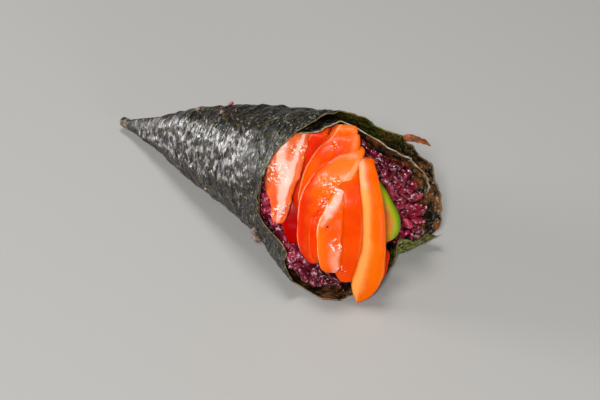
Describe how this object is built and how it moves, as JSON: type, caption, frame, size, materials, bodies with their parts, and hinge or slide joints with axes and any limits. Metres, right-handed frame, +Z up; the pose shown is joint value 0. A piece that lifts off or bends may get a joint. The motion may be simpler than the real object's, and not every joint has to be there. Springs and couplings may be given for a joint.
{
  "type": "temaki hand roll",
  "caption": "Cone-shaped hand roll lying on its side: crisp seaweed wound round dark rice, with slices of raw salmon and an avocado wedge fanning out of the open mouth.",
  "frame": {"origin": "middle of the bounding box's underside, level with the surface the roll lies on", "axes": "+X from the pointed tip to the open mouth, +Z up"},
  "size_m": [0.1226, 0.0502, 0.0506],
  "materials": {
    "seaweed": "satin",
    "rice": "moist",
    "salmon": "moist",
    "avocado": "satin"
  },
  "bodies": {
    "root": {"nori_wrap": "seaweed", "salmon_slice_1": "salmon", "salmon_slice_2": "salmon", "salmon_slice_3": "salmon", "salmon_slice_4": "salmon", "salmon_slice_5": "salmon", "salmon_slice_6": "salmon", "salmon_slice_7": "salmon", "salmon_slice_8": "salmon", "salmon_slice_9": "salmon", "salmon_slice_10": "salmon", "avocado_wedge": "avocado", "rice_heap": "rice"}
  },
  "joints": []
}
